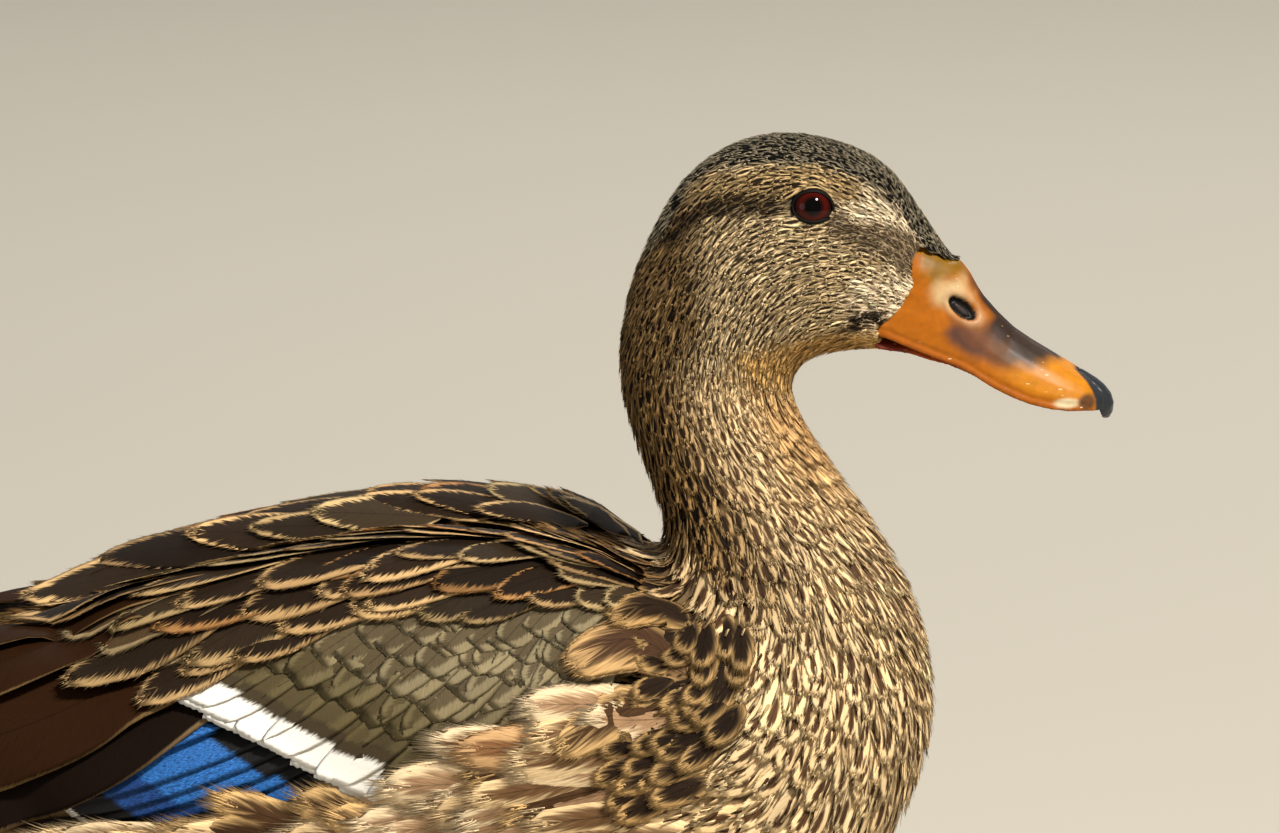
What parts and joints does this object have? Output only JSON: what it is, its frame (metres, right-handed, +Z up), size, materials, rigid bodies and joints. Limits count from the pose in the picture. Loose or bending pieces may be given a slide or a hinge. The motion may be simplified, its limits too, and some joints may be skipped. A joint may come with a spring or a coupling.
{
  "type": "female mallard duck",
  "caption": "Life-size standing mallard hen with head raised, folded wings, blue wing patch, orange bill and webbed feet.",
  "frame": {"origin": "on the floor under the middle of the bird's box", "axes": "+X forward along the bill, +Y the bird's left, +Z up; the bird is the same on both sides of the XZ plane"},
  "size_m": [0.4019, 0.133, 0.2518],
  "materials": {
    "plumage": "soft streaked brown and buff feathers, matt",
    "wing_feathers": "smooth dark brown feathers with buff edges, low sheen",
    "speculum": "glossy blue feathers with black and white bands",
    "tail_feathers": "brown feathers with pale edges, low sheen",
    "bill": "waxy horn, orange with a dark saddle",
    "nail": "dark polished horn",
    "eye": "clear wet surface over a dark brown iris",
    "leg_skin": "scaled orange skin, slightly waxy",
    "claw": "dark horn"
  },
  "bodies": {
    "root": {"head": "plumage", "neck": "plumage", "trunk": "plumage", "thigh_left": "plumage", "thigh_right": "plumage", "tail": "tail_feathers", "wing_left_scapulars": "wing_feathers", "wing_right_scapulars": "wing_feathers", "wing_left_coverts": "wing_feathers", "wing_right_coverts": "wing_feathers", "wing_left_secondaries": "speculum", "wing_right_secondaries": "speculum", "wing_left_tertials": "wing_feathers", "wing_right_tertials": "wing_feathers", "wing_left_primaries": "wing_feathers", "wing_right_primaries": "wing_feathers", "bill_upper": "bill", "bill_lower": "bill", "bill_nail": "nail", "eye_left": "eye", "eye_right": "eye", "foot_left": "leg_skin", "foot_right": "leg_skin", "claw_left_1": "claw", "claw_left_2": "claw", "claw_left_3": "claw", "claw_left_hind": "claw", "claw_right_1": "claw", "claw_right_2": "claw", "claw_right_3": "claw", "claw_right_hind": "claw"}
  },
  "joints": []
}
